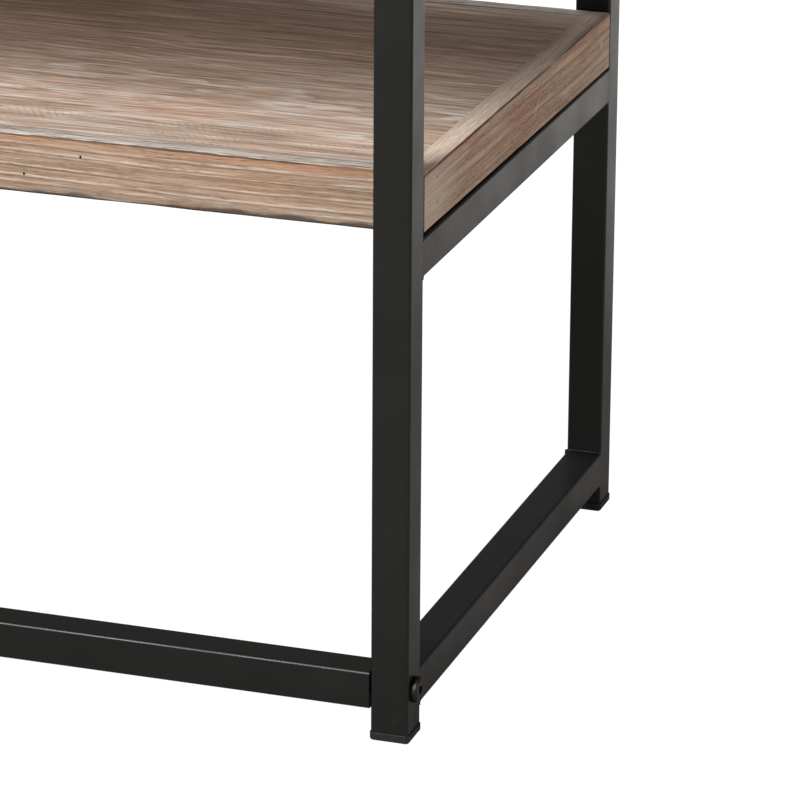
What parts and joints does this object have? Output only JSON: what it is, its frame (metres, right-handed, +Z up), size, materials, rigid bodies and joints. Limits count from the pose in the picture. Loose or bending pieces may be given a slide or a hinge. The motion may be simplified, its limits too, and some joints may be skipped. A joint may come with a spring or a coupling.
{
  "type": "entryway bench",
  "caption": "Low rectangular bench: square-tube steel end frames joined by a bolted front stretcher, with a plank-style seat board and a full-length shelf board below it.",
  "frame": {"origin": "on the floor, under the middle of the bench's length and depth", "axes": "+Z up, +X along the bench's length to the right seen from the front, -Y towards the front, where the low stretcher is"},
  "size_m": [1.0234, 0.3822, 0.457],
  "materials": {
    "powder_coat": "satin black powder coat",
    "foot_plastic": "moulded black polyethylene",
    "black_oxide": "black oxide on machined steel",
    "zinc_plate": "bright zinc plate",
    "limed_fir": "brown stain with white liming wax in the grain, matt",
    "bare_pine": "bare sawn pine"
  },
  "bodies": {
    "root": {"seat_front_lipping": "limed_fir", "seat_rear_lipping": "limed_fir", "seat_right_lipping": "limed_fir", "seat_left_lipping": "limed_fir", "seat_panel": "limed_fir", "seat_middle_batten": "bare_pine", "seat_left_batten": "bare_pine", "seat_right_batten": "bare_pine", "shelf_front_lipping": "limed_fir", "shelf_rear_lipping": "limed_fir", "shelf_right_lipping": "limed_fir", "shelf_left_lipping": "limed_fir", "shelf_panel": "limed_fir", "shelf_middle_batten": "bare_pine", "shelf_left_batten": "bare_pine", "shelf_right_batten": "bare_pine", "left_front_leg": "powder_coat", "left_rear_leg": "powder_coat", "left_front_foot": "foot_plastic", "left_rear_foot": "foot_plastic", "left_top_rail": "powder_coat", "left_shelf_rail": "powder_coat", "left_low_rail": "powder_coat", "seat_left_front_tab": "powder_coat", "seat_left_front_screw": "zinc_plate", "seat_left_rear_tab": "powder_coat", "seat_left_rear_screw": "zinc_plate", "shelf_left_front_tab": "powder_coat", "shelf_left_front_screw": "zinc_plate", "shelf_left_rear_tab": "powder_coat", "shelf_left_rear_screw": "zinc_plate", "left_stretcher_plug": "zinc_plate", "left_stretcher_bolt": "black_oxide", "right_front_leg": "powder_coat", "right_rear_leg": "powder_coat", "right_front_foot": "foot_plastic", "right_rear_foot": "foot_plastic", "right_top_rail": "powder_coat", "right_shelf_rail": "powder_coat", "right_low_rail": "powder_coat", "seat_right_front_tab": "powder_coat", "seat_right_front_screw": "zinc_plate", "seat_right_rear_tab": "powder_coat", "seat_right_rear_screw": "zinc_plate", "shelf_right_front_tab": "powder_coat", "shelf_right_front_screw": "zinc_plate", "shelf_right_rear_tab": "powder_coat", "shelf_right_rear_screw": "zinc_plate", "right_stretcher_plug": "zinc_plate", "right_stretcher_bolt": "black_oxide", "front_stretcher": "powder_coat"}
  },
  "joints": []
}
